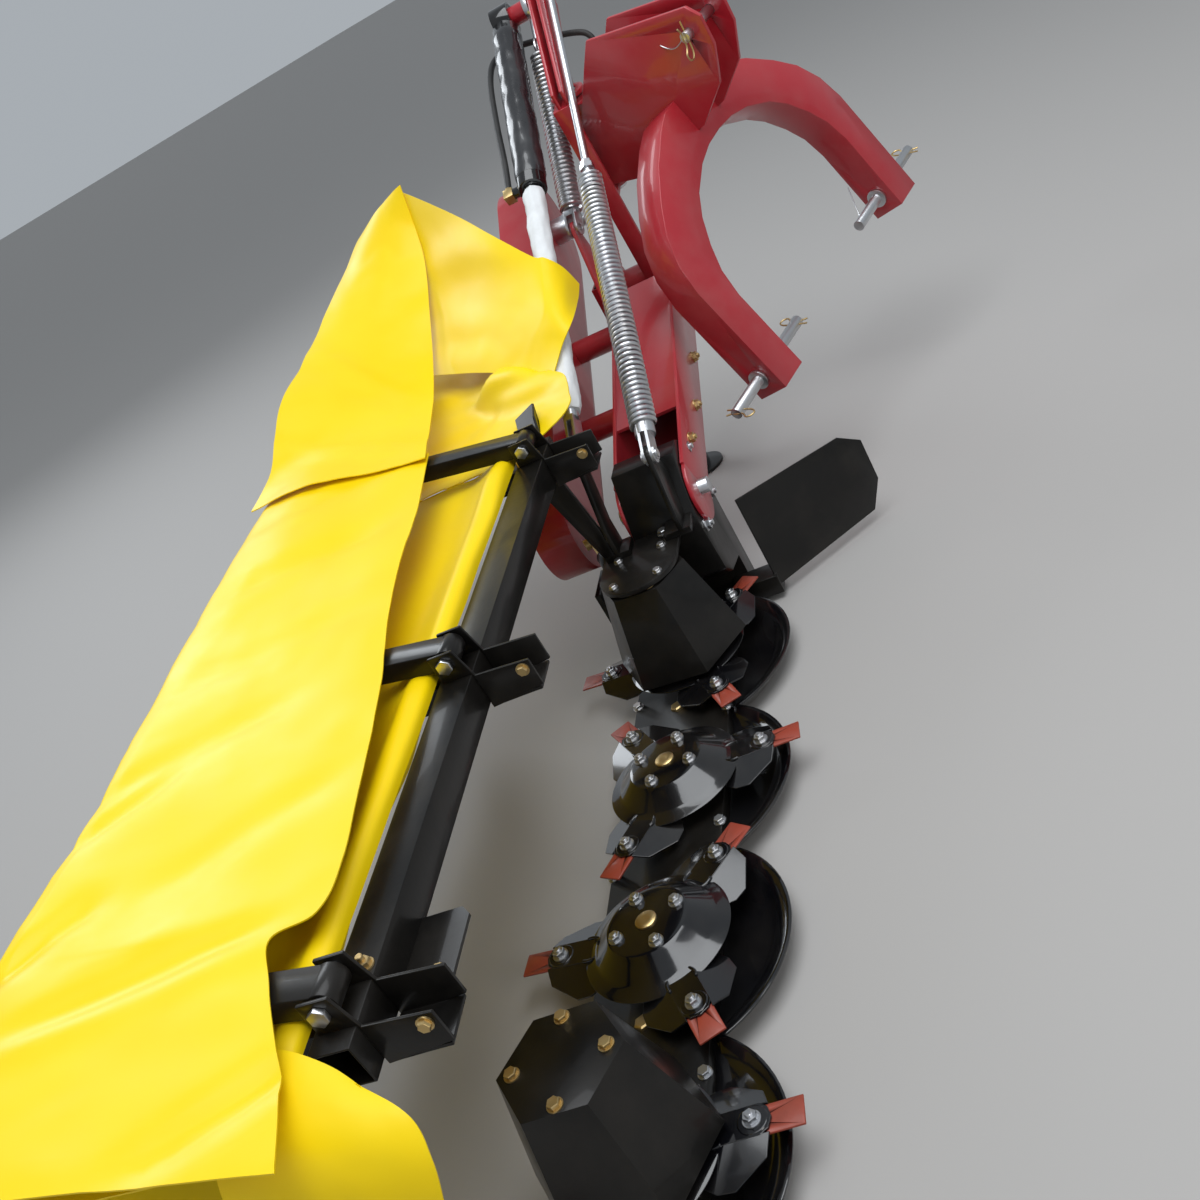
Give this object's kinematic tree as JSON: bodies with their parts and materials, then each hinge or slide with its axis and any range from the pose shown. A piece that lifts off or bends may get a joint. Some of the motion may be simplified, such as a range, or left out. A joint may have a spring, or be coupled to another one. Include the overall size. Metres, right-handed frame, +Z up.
{
  "type": "disc mower",
  "caption": "Rear-mounted side disc mower with a belt drive, three-point headstock, balance springs, lift cylinder and a folding yellow crop guard.",
  "frame": {"origin": "on the floor under the middle of the machine's bounding box", "axes": "+X outward along the cutter bar, +Y the way it drives, +Z up"},
  "size_m": [2.9035, 1.4346, 1.3249],
  "materials": {
    "red": "satin",
    "black": "gloss",
    "zinc": "satin",
    "gold": "satin",
    "rust": "matte",
    "yellow": "satin",
    "hose": "matte"
  },
  "bodies": {
    "frame": {"main_beam": "red", "belt_guard": "red", "hinge_pin": "zinc", "beam_pin": "zinc", "swing_carrier": "red", "lift_mast": "red", "swing_post": "zinc", "spring_rod_b": "zinc", "upper_spring": "zinc"},
    "headstock": {"headstock_arms": "red", "tower": "red", "hitch_pins": "zinc", "top_link_pin": "zinc"},
    "stand": {"parking_stand": "black"},
    "cylinder": {"cylinder_barrel": "black", "lift_hose": "hose", "hose_fittings": "gold"},
    "rod": {"cylinder_rod": "zinc"},
    "spring_rod": {"spring_rod_a": "zinc"},
    "spring_end": {"lower_spring": "zinc"},
    "cutter_bar": {"bar_housing": "black", "skid_guards": "black", "inner_post": "black", "gear_flange": "black", "lift_levers": "black", "drive_joint": "gold", "divider_plate": "black", "guard_tube": "black", "guard_brackets": "black", "guard_bolts": "zinc", "rear_arms": "black", "rear_sheet": "yellow"},
    "front_guard": {"front_arms": "black", "front_sheet": "yellow"},
    "pto": {"pto_stub": "zinc"},
    "disc_unit_1": {"disc_1": "black", "blades_1": "rust", "drum_1": "black"},
    "disc_unit_2": {"disc_2": "black", "blades_2": "rust"},
    "disc_unit_3": {"disc_3": "black", "blades_3": "rust"},
    "disc_unit_4": {"disc_4": "black", "blades_4": "rust", "drum_4": "black"}
  },
  "joints": [
    {"name": "bar_lift", "type": "hinge", "parent": "frame", "child": "cutter_bar", "pos_m": [-0.2722, 0.0072, 0.326], "axis": [0, -1, 0], "range_deg": [-8, 50]},
    {"name": "head_swing", "type": "hinge", "parent": "frame", "child": "headstock", "pos_m": [-1.15764, 0.02452, 0.88418], "axis": [0.1392, 0, 0.9903], "range_deg": [0, 75]},
    {"name": "cylinder_pivot", "type": "hinge", "parent": "frame", "child": "cylinder", "pos_m": [-1.37818, -0.0918, 1.23996], "axis": [0, -1, 0], "range_deg": [-6, 2]},
    {"name": "rod_slide", "type": "slide", "parent": "cylinder", "child": "rod", "axis": [0.8521, 0, -0.5234], "range_m": [-0.146, 0.025]},
    {"name": "spring_pivot", "type": "hinge", "parent": "frame", "child": "spring_rod", "pos_m": [-1.37818, 0.0552, 1.28496], "axis": [0, -1, 0], "range_deg": [-4, 2]},
    {"name": "spring_slide", "type": "slide", "parent": "spring_rod", "child": "spring_end", "axis": [0.8283, 0, -0.5603], "range_m": [-0.139, 0.023]},
    {"name": "guard_fold", "type": "hinge", "parent": "cutter_bar", "child": "front_guard", "pos_m": [0.5418, -0.1438, 0.63], "axis": [-1, 0, 0], "range_deg": [0, 168]},
    {"name": "stand_slide", "type": "slide", "parent": "frame", "child": "stand", "axis": [0, 0, 1], "range_m": [0, 0.25]},
    {"name": "disc_1_spin", "type": "hinge", "parent": "cutter_bar", "child": "disc_unit_1", "pos_m": [-0.0582, -0.0448, 0.09], "axis": [0, 0, 1], "continuous": true},
    {"name": "disc_2_spin", "type": "hinge", "parent": "cutter_bar", "child": "disc_unit_2", "pos_m": [0.3418, -0.0448, 0.09], "axis": [0, 0, 1], "continuous": true},
    {"name": "disc_3_spin", "type": "hinge", "parent": "cutter_bar", "child": "disc_unit_3", "pos_m": [0.7418, -0.0448, 0.09], "axis": [0, 0, 1], "continuous": true},
    {"name": "disc_4_spin", "type": "hinge", "parent": "cutter_bar", "child": "disc_unit_4", "pos_m": [1.1418, -0.0448, 0.09], "axis": [0, 0, 1], "continuous": true},
    {"name": "pto_spin", "type": "hinge", "parent": "frame", "child": "pto", "pos_m": [-1.30174, -0.1848, 0.71674], "axis": [0, 1, 0], "continuous": true}
  ],
  "couplings": [
    {"joint": "cylinder_pivot", "follows": "bar_lift", "ratio": -0.086},
    {"joint": "rod_slide", "follows": "bar_lift", "m_per_rad": -0.166},
    {"joint": "spring_pivot", "follows": "bar_lift", "ratio": -0.0479},
    {"joint": "spring_slide", "follows": "bar_lift", "m_per_rad": -0.1573},
    {"joint": "disc_2_spin", "follows": "disc_1_spin", "ratio": -1},
    {"joint": "disc_3_spin", "follows": "disc_1_spin", "ratio": 1},
    {"joint": "disc_4_spin", "follows": "disc_1_spin", "ratio": -1},
    {"joint": "pto_spin", "follows": "disc_1_spin", "ratio": 0.18}
  ]
}
